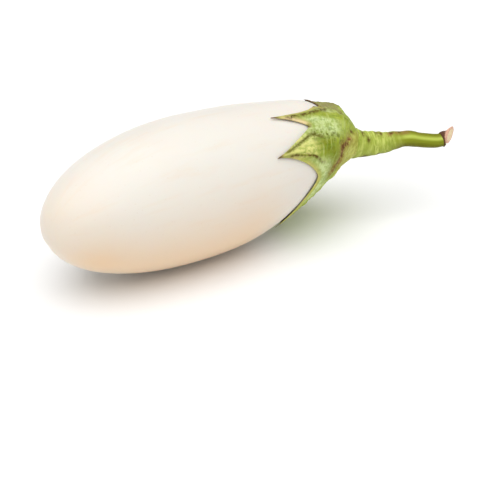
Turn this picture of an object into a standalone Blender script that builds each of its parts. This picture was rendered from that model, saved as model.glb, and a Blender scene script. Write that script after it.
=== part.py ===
"""A whole white eggplant as picked, lying on its side: the fruit, its leafy cap and its stem.

Metres, +Z up. The fruit's long axis runs along X, with the stem at +X. The origin is the centre of the
small flat spot that the fruit rests on. The fruit's skin is one formula, fruit_skin. The cap lies on that
skin, and the stem stands on the cap's crown, so both follow the fruit when its size changes.

A place on the skin is a distance and a turn. The distance runs down the fruit's side, from the stem pole.
The turn goes round the axis: 0 is the front, at -Y, and a quarter turn is the top.
"""

import functools
import math

import bmesh
import bpy
import numpy as np
from mathutils import Vector

# The fruit's overall size, straightened out.
FRUIT_LENGTH = 0.165
FRUIT_DIAMETER = 0.070

# How each end is rounded: 1 is an ellipse, and less is blunter.
STEM_END_POINT = 1.03
BLOSSOM_END_POINT = 0.95

# The share by which the blossom half is thicker than the stem half.
BELLY_BIAS = 0.036

# The axis curves from its middle to each end by this much: to the side, at -Y, and upwards.
BEND_SIDE = math.radians(13.7)
BEND_UP = math.radians(4.1)

# The stem end is aslant: its upper side stands out this far per metre of height.
STEM_END_SLANT = 0.65

# Low waves that keep the cross-section from being a true circle: (waves round the fruit, share, start).
SKIN_WAVES = ((2, 0.012, 0.5), (3, 0.008, 1.9), (5, 0.003, 0.4))

# A shoulder near the stem end: its rise as a share of the radius, its place and spread along the axis, and
# the turn that it faces.
SHOULDER_RISE = 0.085
SHOULDER_PLACE = 0.058
SHOULDER_SPREAD = 0.014
SHOULDER_TURN = math.radians(105)

# How far the fruit's own weight flattens the skin that it rests on.
REST_DEPTH = 0.0006

# Clearance that separate solids keep.
GAP = 0.0004

# The cap's lobes, in order round the axis. Each is (turn in degrees and distance of its tip, slenderness of
# its sides before and after the tip, turn and distance of the notch after it). A side of slenderness 1 is
# straight, and more draws the tip out into a spike.
CAP_LOBES = (
    (34, 0.0675, 1.85, 1.35, 57, 0.0475),
    (70.5, 0.0645, 1.3, 2.3, 85, 0.0365),
    (104, 0.0425, 1.35, 1.5, 128, 0.036),
    (154, 0.062, 1.6, 1.3, 182, 0.041),
    (208, 0.058, 1.4, 1.7, 236, 0.038),
    (262, 0.060, 1.5, 1.4, 290, 0.037),
    (318, 0.057, 1.5, 1.3, 362, 0.039),
)

# The cap's thickness near its middle and at its margin, and the height of the ridge down each lobe.
CAP_FLESH = 0.0020
CAP_MARGIN = 0.0009
CAP_RIDGE = 0.0024

# The crown is the flat top of the cap, where the stem stands: its height above the fruit's stem pole, how
# far above the pole its middle is, its rim beyond the stem's root, and how far its slope spreads.
CROWN_HEIGHT = 0.0036
CROWN_SHIFT = 0.0040
CROWN_RIM = 0.0006
CROWN_SPREAD = 0.010

# The stem's length along its own line, the heading it takes towards -Y and downwards, and its radii.
STEM_LENGTH = 0.054
STEM_HEADING = math.radians(18)
STEM_DROOP = math.radians(6.5)
STEM_ROOT_RADIUS = 0.0074
STEM_NECK_RADIUS = 0.0062
STEM_WAIST_RADIUS = 0.0038
STEM_TIP_RADIUS = 0.0045

# How soon the root narrows to the neck, where the neck narrows to the waist, and the length of the flare.
STEM_ROOT_FLARE = 0.0045
STEM_SLOPE = (0.012, 0.030)
STEM_CUT_FLARE = 0.004

# The stem's line rises in a low arch: its height, its middle as a share of the line, and its spread. The last
# part from STEM_TURN_UP on, as a share of the line, bends up to this height at the tip.
STEM_ARCH = 0.0020
STEM_ARCH_MIDDLE = 0.70
STEM_ARCH_SPREAD = 0.17
STEM_TURN_UP = 0.93
STEM_TIP_RISE = 0.0018

# Mesh fineness. The cap's rows are crowded towards the crown, where the skin is most curved.
FRUIT_TURNS = 44
FRUIT_RINGS = 30
LOBE_COLUMNS = 10
CAP_ROWS = 14
CAP_ROW_CROWDING = 1.3
STEM_STATIONS = 22
STEM_ROUNDNESS = 6

SKIN_COLOUR = (0.91, 0.86, 0.77, 1.0)
CAP_COLOUR = (0.36, 0.47, 0.15, 1.0)
STEM_COLOUR = (0.33, 0.42, 0.09, 1.0)


def smooth_step(low, high, value):
    """0 below low, 1 above high, and an even curve between them."""
    share = np.clip((value - low) / (high - low), 0.0, 1.0)
    return share * share * (3.0 - 2.0 * share)


def outline(angle):
    """(place along the axis, radius) of the straight fruit, from the stem pole at 0 to the other at pi."""
    along = np.cos(angle)
    power = STEM_END_POINT + (BLOSSOM_END_POINT - STEM_END_POINT) * (1.0 - along) / 2.0
    radius = (1.0 - BELLY_BIAS * along) * np.abs(np.sin(angle)) ** power
    return FRUIT_LENGTH / 2.0 * along, FRUIT_DIAMETER / 2.0 * radius


@functools.lru_cache(maxsize=1)
def outline_distances():
    """(angles, the distance down the straight fruit's side at each of them)."""
    angles = np.pi * (1.0 - np.cos(np.linspace(0.0, np.pi, 2001))) / 2.0
    along, radius = outline(angles)
    steps = np.hypot(np.diff(along), np.diff(radius))
    return angles, np.concatenate([[0.0], np.cumsum(steps)])


def side_length():
    """The distance down the fruit's side from one pole to the other."""
    return outline_distances()[1][-1]


def fruit_skin(distance, turn):
    """Points of the skin, as an array whose last axis is x, y, z.

    The section is a circle with low waves and, near the stem end, a shoulder. The stem end slants, and
    then the whole fruit is bent along an arc, in the plane that holds the axis and the direction that the
    two bends add up to.
    """
    angle = np.interp(distance, outline_distances()[1], outline_distances()[0])
    along, radius = outline(angle)
    for waves, share, start in SKIN_WAVES:
        radius = radius * (1.0 + share * np.cos(waves * turn + start) * np.sin(angle))
    shoulder = np.exp(-(((along - SHOULDER_PLACE) / SHOULDER_SPREAD) ** 2))
    shoulder = shoulder * np.exp(3.0 * (np.cos(turn - SHOULDER_TURN) - 1.0))
    radius = radius * (1.0 + SHOULDER_RISE * shoulder)
    front, height = radius * np.cos(turn), radius * np.sin(turn)
    along = along + STEM_END_SLANT * height * smooth_step(0.0, FRUIT_LENGTH / 2.0, along)
    bend = math.hypot(BEND_SIDE, BEND_UP)
    to_front, to_top = BEND_SIDE / bend, BEND_UP / bend
    bend_radius = FRUIT_LENGTH / 2.0 / bend
    inner = front * to_front + height * to_top
    level = height * to_front - front * to_top
    bearing = along / bend_radius
    x = (bend_radius - inner) * np.sin(bearing)
    inner = bend_radius - (bend_radius - inner) * np.cos(bearing)
    front, height = inner * to_front - level * to_top, inner * to_top + level * to_front
    return np.stack(np.broadcast_arrays(x, -front, height), axis=-1)


def skin_outward(distance, turn):
    """Unit vectors that point out of the skin."""
    reach, swing = 0.0005, 0.02
    down = fruit_skin(distance + reach, turn) - fruit_skin(distance - reach, turn)
    around = fruit_skin(distance, turn + swing) - fruit_skin(distance, turn - swing)
    outward = np.cross(around, down)
    return outward / np.linalg.norm(outward, axis=-1, keepdims=True)


def stem_pole():
    """(the skin's point at the stem pole, the unit vector out of the skin there)."""
    ring = fruit_skin(0.001, np.radians([0.0, 120.0, 240.0]))
    outward = np.cross(ring[1] - ring[0], ring[2] - ring[0])
    return fruit_skin(0.0, 0.0), outward / np.linalg.norm(outward) * math.copysign(1.0, outward[0])


def crown():
    """(the middle of the crown's plane, the unit vector out of it)."""
    pole, outward = stem_pole()
    upwards = np.array([0.0, 0.0, 1.0]) - outward * outward[2]
    upwards /= np.linalg.norm(upwards)
    return pole + outward * CROWN_HEIGHT + upwards * CROWN_SHIFT, outward


def resting_place():
    """The shift that brings the skin's lowest point to the origin, less the depth of the flat spot."""
    distance, turn = np.meshgrid(np.linspace(0.0, side_length(), 241), np.linspace(0.0, math.tau, 361))
    points = fruit_skin(distance, turn).reshape(-1, 3)
    lowest = points[points[:, 2].argmin()]
    return Vector((-lowest[0], -lowest[1], -lowest[2] - REST_DEPTH))


def material(name, colour, roughness):
    made = bpy.data.materials.new(name)
    made.use_nodes = True
    shader = made.node_tree.nodes["Principled BSDF"]
    shader.inputs["Base Color"].default_value = colour
    shader.inputs["Roughness"].default_value = roughness
    shader.inputs["Metallic"].default_value = 0.0
    return made


def add_object(name, data, place, finish):
    """A named object at its place, with its own material."""
    data.materials.append(finish)
    made = bpy.data.objects.new(name, data)
    made.location = place
    bpy.context.scene.collection.objects.link(made)
    return made


def finished_mesh(name, shape):
    """The mesh of a bmesh, shaded smooth except at its sharp edges."""
    bmesh.ops.recalc_face_normals(shape, faces=shape.faces)
    mesh = bpy.data.meshes.new(name)
    shape.to_mesh(mesh)
    shape.free()
    mesh.shade_smooth()
    mesh.set_sharp_from_angle(angle=math.radians(35))
    return mesh


def make_fruit(place):
    """A globe reshaped to the skin's formula, with the flat spot cut where it rests."""
    shape = bmesh.new()
    bmesh.ops.create_uvsphere(shape, u_segments=FRUIT_TURNS, v_segments=FRUIT_RINGS, radius=1.0)
    for vertex in shape.verts:
        polar = math.acos(max(-1.0, min(1.0, vertex.co.z)))
        turn = math.atan2(vertex.co.y, vertex.co.x)
        vertex.co = Vector(fruit_skin(side_length() * polar / math.pi, turn))
    cut = bmesh.ops.bisect_plane(
        shape,
        geom=shape.verts[:] + shape.edges[:] + shape.faces[:],
        plane_co=-place,
        plane_no=(0.0, 0.0, -1.0),
        clear_outer=True,
    )
    rim = [piece for piece in cut["geom_cut"] if isinstance(piece, bmesh.types.BMEdge)]
    bmesh.ops.edgeloop_fill(shape, edges=rim)
    mesh = finished_mesh("fruit", shape)
    return add_object("fruit", mesh, place, material("fruit_skin", SKIN_COLOUR, 0.35))


def cap_columns():
    """(turns at the crown, turns at the margin, distances of the margin, nearness to the lobe's middle).

    A lobe's columns run from the notch before it, over its tip, to just short of the notch after it.
    """
    crown_turn, margin_turn, reach, nearness = [], [], [], []
    for index, (tip_turn, tip, slender_before, slender_after, after_turn, after) in enumerate(CAP_LOBES):
        before_turn, before = CAP_LOBES[index - 1][4:]
        before_side = before_turn - (360 if index == 0 else 0), before, slender_before
        after_side = after_turn, after, slender_after
        for step in range(LOBE_COLUMNS):
            across = 2.0 * step / LOBE_COLUMNS - 1.0
            notch_turn, notch, slenderness = before_side if across < 0.0 else after_side
            share = abs(across)
            crown_turn.append(tip_turn + (notch_turn - tip_turn) * share)
            margin_turn.append(tip_turn + (notch_turn - tip_turn) * share**slenderness)
            reach.append(tip + (notch - tip) * share)
            nearness.append(1.0 - share)
    return np.radians(crown_turn), np.radians(margin_turn), np.array(reach), np.array(nearness)


def cap_sheets():
    """(inner, outer) points of the cap, each with one row for each ring from the crown to the margin.

    The inner sheet lies a gap above the skin. The outer one is the flesh's thickness above that, with
    its ridges, and on the crown it is the plane that the stem stands on.
    """
    middle, outward = crown()
    crown_turn, margin_turn, reach, nearness = cap_columns()
    share = np.linspace(0.0, 1.0, CAP_ROWS + 1)[1:, None] ** CAP_ROW_CROWDING
    distance = share * reach
    turn = crown_turn + (margin_turn - crown_turn) * smooth_step(0.35, 1.0, share)
    skin, lift = fruit_skin(distance, turn), skin_outward(distance, turn)
    flesh = CAP_FLESH + (CAP_MARGIN - CAP_FLESH) * share**2
    ridge = CAP_RIDGE * nearness**1.5 * smooth_step(0.1, 0.35, share) * (1.0 - smooth_step(0.4, 0.95, share))
    rounded = skin + lift * (GAP + flesh + ridge)[..., None]
    flat = skin + outward * ((middle - skin) @ outward)[..., None]
    rim = STEM_ROOT_RADIUS + CROWN_RIM
    slope = smooth_step(rim, rim + CROWN_SPREAD, np.linalg.norm(rounded - middle, axis=-1))[..., None]
    return skin + lift * GAP, flat * (1.0 - slope) + rounded * slope


def add_sheet(shape, centre, rows):
    """A fan from a centre point to the first row, and quads between the rows. Returns the last row."""
    middle = shape.verts.new(centre)
    rings = [[shape.verts.new(point) for point in row] for row in rows]
    count = len(rings[0])
    for j in range(count):
        shape.faces.new((middle, rings[0][j], rings[0][(j + 1) % count]))
    for inner, outer in zip(rings, rings[1:]):
        for j in range(count):
            after = (j + 1) % count
            shape.faces.new((inner[j], outer[j], outer[after], inner[after]))
    return rings[-1]


def make_cap(place):
    """The cap's two sheets, joined along the lobes' margin."""
    pole, outward = stem_pole()
    inner, outer = cap_sheets()
    shape = bmesh.new()
    below = add_sheet(shape, pole + outward * GAP, inner)
    above = add_sheet(shape, pole + outward * CROWN_HEIGHT, outer)
    for j in range(len(below)):
        after = (j + 1) % len(below)
        shape.faces.new((below[j], below[after], above[after], above[j]))
    mesh = finished_mesh("calyx", shape)
    return add_object("calyx", mesh, place, material("calyx_green", CAP_COLOUR, 0.6))


def stem_line():
    """Points along the stem's middle. It leaves the crown squarely, then arches, and turns up at its tip."""
    middle, outward = crown()
    root = Vector(middle + outward * GAP)
    square = Vector(outward)
    heading = Vector((math.cos(STEM_HEADING), -math.sin(STEM_HEADING), -math.sin(STEM_DROOP))).normalized()
    tip = root + heading * STEM_LENGTH
    first = root + square * STEM_LENGTH * 0.17
    second = tip - heading * STEM_LENGTH * 0.62
    points = [root, root + square * STEM_LENGTH * 0.01]
    for station in range(1, STEM_STATIONS + 1):
        t = station / STEM_STATIONS
        u = 1.0 - t
        rise = STEM_ARCH * math.exp(-(((t - STEM_ARCH_MIDDLE) / STEM_ARCH_SPREAD) ** 2))
        rise += STEM_TIP_RISE * max(0.0, (t - STEM_TURN_UP) / (1.0 - STEM_TURN_UP)) ** 2
        plain = root * u**3 + first * 3.0 * u * u * t + second * 3.0 * u * t * t + tip * t**3
        points.append(plain + Vector((0.0, 0.0, rise)))
    return points


def stem_radius(distance):
    """The radius at a distance along the stem: a flared root, a neck, a waist, and a flare at the cut."""
    root = (STEM_ROOT_RADIUS - STEM_NECK_RADIUS) * math.exp(-((distance / STEM_ROOT_FLARE) ** 1.4))
    neck = (STEM_NECK_RADIUS - STEM_WAIST_RADIUS) * (1.0 - smooth_step(*STEM_SLOPE, distance))
    cut = smooth_step(STEM_LENGTH - STEM_CUT_FLARE, STEM_LENGTH, distance)
    flare = (STEM_TIP_RADIUS - STEM_WAIST_RADIUS) * cut
    return float(STEM_WAIST_RADIUS + root + neck + flare)


def make_stem(place):
    """A round curve with a radius of its own at each point, and closed ends."""
    curve = bpy.data.curves.new("stem", "CURVE")
    curve.dimensions = "3D"
    curve.bevel_depth = 1.0
    curve.bevel_resolution = STEM_ROUNDNESS
    curve.use_fill_caps = True
    line = stem_line()
    spline = curve.splines.new("POLY")
    spline.points.add(len(line) - 1)
    distance = 0.0
    for index, point in enumerate(line):
        distance += (point - line[max(index - 1, 0)]).length
        spline.points[index].co = (*point, 1.0)
        spline.points[index].radius = stem_radius(distance)
    return add_object("stem", curve, place, material("stem_green", STEM_COLOUR, 0.5))


def main():
    for old in list(bpy.data.objects):
        bpy.data.objects.remove(old)
    place = resting_place()
    make_fruit(place)
    make_cap(place)
    make_stem(place)


main()
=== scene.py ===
"""A whole white eggplant lying on its side: its glossy skin, its leafy cap and its cut stem.

Metres, +Z up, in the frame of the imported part. The fruit's skin is one formula. The cap is a closed leaf
shape that follows that skin, and the stem grows out of the cap's crown.

A place on the skin is a distance and a turn. The distance runs down the fruit's side, from the stem pole.
The turn goes round the axis: 0 is the front, at -Y, and a quarter turn is the top.
"""

import logging
import math
from dataclasses import dataclass, field
from enum import Enum

import bpy
import numpy as np
from mathutils import Matrix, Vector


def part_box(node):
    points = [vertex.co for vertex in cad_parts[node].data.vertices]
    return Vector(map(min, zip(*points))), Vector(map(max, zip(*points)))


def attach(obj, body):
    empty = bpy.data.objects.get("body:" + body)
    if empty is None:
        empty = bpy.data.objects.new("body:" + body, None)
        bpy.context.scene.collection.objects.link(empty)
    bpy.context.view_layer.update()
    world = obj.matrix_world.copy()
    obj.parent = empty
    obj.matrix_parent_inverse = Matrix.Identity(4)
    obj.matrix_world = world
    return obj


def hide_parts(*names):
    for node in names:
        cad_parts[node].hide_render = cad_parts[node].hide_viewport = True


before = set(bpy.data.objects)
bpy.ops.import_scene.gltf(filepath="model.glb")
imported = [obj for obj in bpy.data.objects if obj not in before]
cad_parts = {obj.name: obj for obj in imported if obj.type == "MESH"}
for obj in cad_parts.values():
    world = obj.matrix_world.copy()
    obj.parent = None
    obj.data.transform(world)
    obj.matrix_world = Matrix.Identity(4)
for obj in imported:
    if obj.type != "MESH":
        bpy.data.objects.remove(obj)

log = logging.getLogger("eggplant")

MM = 0.001

Pair = tuple[float, float]
Colour = tuple[float, float, float, float]
Socket = bpy.types.NodeSocket


class Mask(Enum):
    """The fields that a piece carries on its points, for its finish to read."""

    FLOW = "flow"
    SCAR = "scar"
    RIM = "rim"
    TIP = "tip"
    KEEL = "keel"
    CREASE_SHADE = "crease"
    PALE = "pale"
    PAINTED_LIGHT = "light"
    DULL = "dull"
    BLOT = "blot"
    DEEP_GREEN_AND_PAINTED_SHADE = "deep"
    WARM_TINT_AND_PAINTED_SHADE = "warm"
    FOOT = "foot"
    UNDERSIDE_SHADE = "under"
    NECK = "neck"
    FACE = "face"


def tone(red: int, green: int, blue: int) -> Colour:
    """A screen colour of 0 to 255 a channel as linear light: each share is raised to the screen's curve.

    Args:
        red: The red channel.
        green: The green channel.
        blue: The blue channel.

    Returns:
        The linear colour, with full opacity.
    """
    shares = np.array([red, green, blue]) / 255.0
    light = np.where(shares <= 0.04045, shares / 12.92, ((shares + 0.055) / 1.055) ** 2.4)
    return float(light[0]), float(light[1]), float(light[2]), 1.0


def smooth_step(low: float, high: float, value: np.ndarray) -> np.ndarray:
    """0 below low, 1 above high, and 3s^2 - 2s^3 of the share s between them.

    Args:
        low: Where the rise starts.
        high: Where the rise ends.
        value: The values to take.

    Returns:
        The eased shares, of the shape of value.
    """
    share = np.clip((value - low) / (high - low), 0.0, 1.0)
    return share * share * (3.0 - 2.0 * share)


def between(value: np.ndarray, start: float, full: float, fade: float, end: float) -> np.ndarray:
    """1 from full to fade, and eased down to 0 at the start and at the end.

    Args:
        value: The values to take.
        start: Where the rise starts.
        full: Where the rise ends.
        fade: Where the fall starts.
        end: Where the fall ends.

    Returns:
        The eased shares, of the shape of value.
    """
    return smooth_step(start, full, value) * smooth_step(end, fade, value)


def swell(value: np.ndarray, middle: float | np.ndarray, width: float) -> np.ndarray:
    """A bell curve: e to the minus square of the distance from the middle, over the width.

    Args:
        value: The values to take.
        middle: Where the bell is 1.
        width: The distance at which the bell has fallen to 1/e.

    Returns:
        The bell's heights, of the shape of value.
    """
    return np.exp(-(((value - middle) / width) ** 2))


def turn_apart(turn: np.ndarray, other: float | np.ndarray) -> np.ndarray:
    """The signed difference of two turns, brought to within half a turn.

    Args:
        turn: Turns in radians.
        other: The turn that is taken away.

    Returns:
        The differences, from -pi to pi.
    """
    return (turn - other + math.pi) % math.tau - math.pi


def unit(vectors: np.ndarray) -> np.ndarray:
    """The vectors of the last axis, brought to length 1."""
    return vectors / np.maximum(np.linalg.norm(vectors, axis=-1, keepdims=True), 1e-12)


def lumps(points: np.ndarray, size: float, seed: int) -> np.ndarray:
    """A smooth field without repeats: a sum of sine waves with seeded headings, lengths and starts.

    Args:
        points: Places, with x, y, z on the last axis.
        size: The middle wavelength in metres.
        seed: The choice of waves.

    Returns:
        Values of about -1 to 1, one for each place.
    """
    waves = 14
    chance = np.random.default_rng(seed)
    headings = unit(chance.normal(size=(waves, 3)))
    lengths = size * chance.uniform(0.6, 1.6, waves)
    starts = chance.uniform(0.0, math.tau, waves)
    phases = points @ (headings * (math.tau / lengths)[:, None]).T + starts
    return np.sin(phases).sum(axis=-1) / math.sqrt(2.0 * waves)


def smooth_line(points: np.ndarray, count: int) -> np.ndarray:
    """A curve through the given points: cubic with each inner slope the chord of its two neighbours.

    Args:
        points: The points, one to a row.
        count: How many points the curve is given as.

    Returns:
        Points of the curve, evenly spaced in its own parameter.
    """
    slope = np.gradient(points, axis=0)
    place = np.linspace(0.0, len(points) - 1.0, count)
    start = np.minimum(place.astype(int), len(points) - 2)
    t = (place - start)[:, None]
    ahead = points[start + 1]
    return (
        points[start] * (2 * t**3 - 3 * t**2 + 1)
        + slope[start] * (t**3 - 2 * t**2 + t)
        + ahead * (3 * t**2 - 2 * t**3)
        + slope[start + 1] * (t**3 - t**2)
    )


def nearest(points: np.ndarray, line: np.ndarray) -> tuple[np.ndarray, np.ndarray]:
    """How far each point is from a line of points, and how far along the line its nearest point is.

    The grid is taken a row at a time, against all of the line at once.

    Args:
        points: A grid of places: rows, columns, and x, y, z.
        line: The line's points in order, closely spaced.

    Returns:
        The distances, and the shares of the line's count of points from 0 to 1, each as a grid.
    """
    away, along = [], []
    for row in points:
        gaps = np.linalg.norm(row[:, None, :] - line[None, :, :], axis=-1)
        away.append(gaps.min(axis=1))
        along.append(gaps.argmin(axis=1) / (len(line) - 1.0))
    return np.array(away), np.array(along)


def wrapped_place(radius: float, distance: np.ndarray, turn: np.ndarray) -> np.ndarray:
    """Coordinates that follow a long surface: a circle of fixed radius round it, and the distance along.

    Args:
        radius: The circle's radius in metres.
        distance: Metres along the surface.
        turn: Radians round it.

    Returns:
        The coordinates on the last axis.
    """
    ring = (radius * np.cos(turn), radius * np.sin(turn), distance)
    return np.stack(np.broadcast_arrays(*ring), axis=-1)


def linked(name: str, data: bpy.types.ID) -> bpy.types.Object:
    """A new object of the scene that shows the data."""
    made = bpy.data.objects.new(name, data)
    bpy.context.scene.collection.objects.link(made)
    return made


def aimed(
    name: str, data: bpy.types.ID, axes: tuple[np.ndarray, ...], origin: np.ndarray
) -> bpy.types.Object:
    """A camera or a light, turned and placed.

    Args:
        name: The object's name.
        data: The camera or the light.
        axes: Unit vectors to its right, to its top and to its back.
        origin: Its place.

    Returns:
        The object.
    """
    made = linked(name, data)
    turned = np.eye(4)
    turned[:3] = np.stack([*axes, origin], axis=-1)
    made.matrix_world = Matrix(turned.tolist())
    return made


def closed_piece(
    name: str,
    rings: np.ndarray,
    poles: tuple[np.ndarray, np.ndarray],
    masks: dict[Mask, np.ndarray],
    material: bpy.types.Material,
) -> bpy.types.Object:
    """A closed mesh from rings of points: quads between rings, wrapped round, and a fan at each pole.

    The winding is turned over where the signed volume, the sum of a.(b x c)/6 over triangles, is negative.

    Args:
        name: The piece's name.
        rings: Points by ring, column, and x, y, z.
        poles: The point that closes the first ring, and the one that closes the last.
        masks: Fields by ring and column, of one number or of three. A pole takes its ring's mean.
        material: The piece's finish.

    Returns:
        The piece, smooth shaded, with its masks as point attributes.
    """
    count, columns = rings.shape[:2]
    points = np.vstack([rings.reshape(-1, 3), poles[0], poles[1]])
    base = np.arange(columns)
    after = (base + 1) % columns
    start = (np.arange(count - 1) * columns)[:, None]
    quads = np.stack([start + base, start + after, start + columns + after, start + columns + base], axis=-1)
    quads = quads.reshape(-1, 4)
    first, last, end = count * columns, count * columns + 1, (count - 1) * columns
    fan = np.stack([np.full(columns, first), after, base], axis=-1)
    other_fan = np.stack([np.full(columns, last), end + base, end + after], axis=-1)
    caps = np.vstack([fan, other_fan])
    halves = np.vstack([quads[:, [0, 1, 2]], quads[:, [0, 2, 3]], caps])
    a, b, c = (points[halves[:, k]] for k in range(3))
    if np.einsum("ij,ij->i", a, np.cross(b, c)).sum() < 0.0:
        quads, caps = quads[:, ::-1], caps[:, ::-1]
    corners = np.concatenate([quads.ravel(), caps.ravel()])
    sizes = np.concatenate([np.full(len(quads), 4), np.full(len(caps), 3)])
    mesh = bpy.data.meshes.new(name)
    mesh.vertices.add(len(points))
    mesh.vertices.foreach_set("co", points.ravel())
    mesh.loops.add(len(corners))
    mesh.loops.foreach_set("vertex_index", corners)
    mesh.polygons.add(len(sizes))
    mesh.polygons.foreach_set("loop_start", np.concatenate([[0], np.cumsum(sizes)[:-1]]))
    mesh.update(calc_edges=True)
    mesh.validate()
    mesh.shade_smooth()
    for mask, values in masks.items():
        flat = values.reshape(count, columns, -1)
        closed = np.vstack([flat.reshape(count * columns, -1), flat[0].mean(0), flat[-1].mean(0)])
        kind, slot = ("FLOAT_VECTOR", "vector") if closed.shape[1] == 3 else ("FLOAT", "value")
        carried = mesh.attributes.new(mask.value, kind, "POINT")
        carried.data.foreach_set(slot, closed.astype(np.float32).ravel())
    mesh.materials.append(material)
    return linked(name, mesh)


class Bench:
    """A short way to lay out the nodes of one finish."""

    def __init__(self, name: str) -> None:
        """Starts a material with its shader.

        Args:
            name: The material's name.
        """
        self.material = bpy.data.materials.new(name)
        self.material.use_nodes = True
        self.tree = self.material.node_tree
        self.shader = self.tree.nodes["Principled BSDF"]

    def put(self, socket: Socket, value: object) -> None:
        """Sets an input, or links it where the value is another node's output.

        Args:
            socket: The input.
            value: A number, a colour, or an output.
        """
        if isinstance(value, Socket):
            self.tree.links.new(value, socket)
        else:
            socket.default_value = value

    def made(self, kind: str, result: str, **inputs: object) -> Socket:
        """A new node with its inputs set or linked.

        Args:
            kind: The node's kind.
            result: The name of its output.
            inputs: Its inputs by name, with spaces written as underscores.

        Returns:
            The output.
        """
        node = self.tree.nodes.new(kind)
        for name, value in inputs.items():
            self.put(node.inputs[name.replace("_", " ")], value)
        return node.outputs[result]

    def place(self) -> Socket:
        """The piece's own coordinates."""
        return self.made("ShaderNodeTexCoord", "Object")

    def mask(self, mask: Mask) -> Socket:
        """A field that the piece carries on its points.

        Args:
            mask: Which field.

        Returns:
            Its value, or its vector for FLOW.
        """
        carried = self.tree.nodes.new("ShaderNodeAttribute")
        carried.attribute_name = mask.value
        return carried.outputs["Vector" if mask is Mask.FLOW else "Fac"]

    def stretch(self, vector: Socket, scale: tuple[float, float, float]) -> Socket:
        """Coordinates scaled along each of their axes."""
        return self.made("ShaderNodeMapping", "Vector", Vector=vector, Scale=scale)

    def noise(self, vector: Socket, scale: float, detail: float = 4.0, rough: float = 0.55) -> Socket:
        """A cloudy pattern.

        Args:
            vector: The coordinates that it reads.
            scale: Its lumps in each metre.
            detail: How many finer layers it has.
            rough: How strong the finer layers are.

        Returns:
            Its grey value, about 0.5 in the middle.
        """
        levels = {"Scale": scale, "Detail": detail, "Roughness": rough}
        return self.made("ShaderNodeTexNoise", "Fac", Vector=vector, **levels)

    def cells(self, vector: Socket, scale: float) -> Socket:
        """The distance, in cells, from the nearest of a scatter of seeds, so many in each metre."""
        return self.made("ShaderNodeTexVoronoi", "Distance", Vector=vector, Scale=scale)

    def window(self, value: Socket, low: float, high: float, start: float = 0.0, end: float = 1.0) -> Socket:
        """An eased rise of a value between two of its levels.

        Args:
            value: The value.
            low: The level that gives the start.
            high: The level that gives the end.
            start: The result at and beyond low.
            end: The result at and beyond high.

        Returns:
            The eased value.
        """
        levels = {"From_Min": low, "From_Max": high, "To_Min": start, "To_Max": end}
        result = self.made("ShaderNodeMapRange", "Result", Value=value, **levels)
        result.node.interpolation_type = "SMOOTHSTEP"
        return result

    def times(self, a: Socket, b: Socket) -> Socket:
        """The product of two values, kept within 0 to 1.

        Args:
            a: The first value.
            b: The second value.

        Returns:
            The product.
        """
        made = self.tree.nodes.new("ShaderNodeMath")
        made.operation, made.use_clamp = "MULTIPLY", True
        self.put(made.inputs[0], a)
        self.put(made.inputs[1], b)
        return made.outputs[0]

    def broken(
        self, mask: Mask, pattern: Socket, low: float, high: float, start: float = 0.0, end: float = 1.0
    ) -> Socket:
        """A field of the piece, broken up by a window of a pattern.

        Args:
            mask: Which field.
            pattern: The pattern.
            low: The pattern's level that gives the start.
            high: The pattern's level that gives the end.
            start: The share of the field that is left at and beyond low.
            end: The share of the field that is left at and beyond high.

        Returns:
            The broken field.
        """
        return self.times(self.mask(mask), self.window(pattern, low, high, start, end))

    def over(self, share: object, under: object, over: object) -> Socket:
        """One colour laid over another.

        Args:
            share: How much of the second shows.
            under: The first colour.
            over: The second colour.

        Returns:
            The mixed colour.
        """
        made = self.tree.nodes.new("ShaderNodeMix")
        made.data_type = "RGBA"
        for index, value in ((0, share), (6, under), (7, over)):
            self.put(made.inputs[index], value)
        return made.outputs[2]

    def coats(self, base: object, *coats: tuple[object, object]) -> object:
        """Colours laid over a base, one after another.

        Args:
            base: The first colour.
            coats: For each coat, how much of it shows, and its colour.

        Returns:
            The mixed colour.
        """
        for share, colour in coats:
            base = self.over(share, base, colour)
        return base

    def relief(self, height: Socket, depth: float, strength: float, under: Socket | None = None) -> Socket:
        """A bumpy normal.

        Args:
            height: The pattern of heights.
            depth: Metres from its 0 to its 1.
            strength: The share of the effect.
            under: A normal that this one is added to.

        Returns:
            The normal.
        """
        base = {} if under is None else {"Normal": under}
        return self.made("ShaderNodeBump", "Normal", Height=height, Distance=depth, Strength=strength, **base)

    def finish(self, colour: object, rough: object, normal: object, **levels: object) -> bpy.types.Material:
        """Puts the main inputs on the shader.

        Args:
            colour: The base colour.
            rough: The roughness.
            normal: The bumpy normal.
            levels: Other inputs of the shader, with spaces written as underscores.

        Returns:
            The material.
        """
        for name, level in {"Base_Color": colour, "Roughness": rough, "Normal": normal, **levels}.items():
            self.put(self.shader.inputs[name.replace("_", " ")], level)
        return self.material


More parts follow.
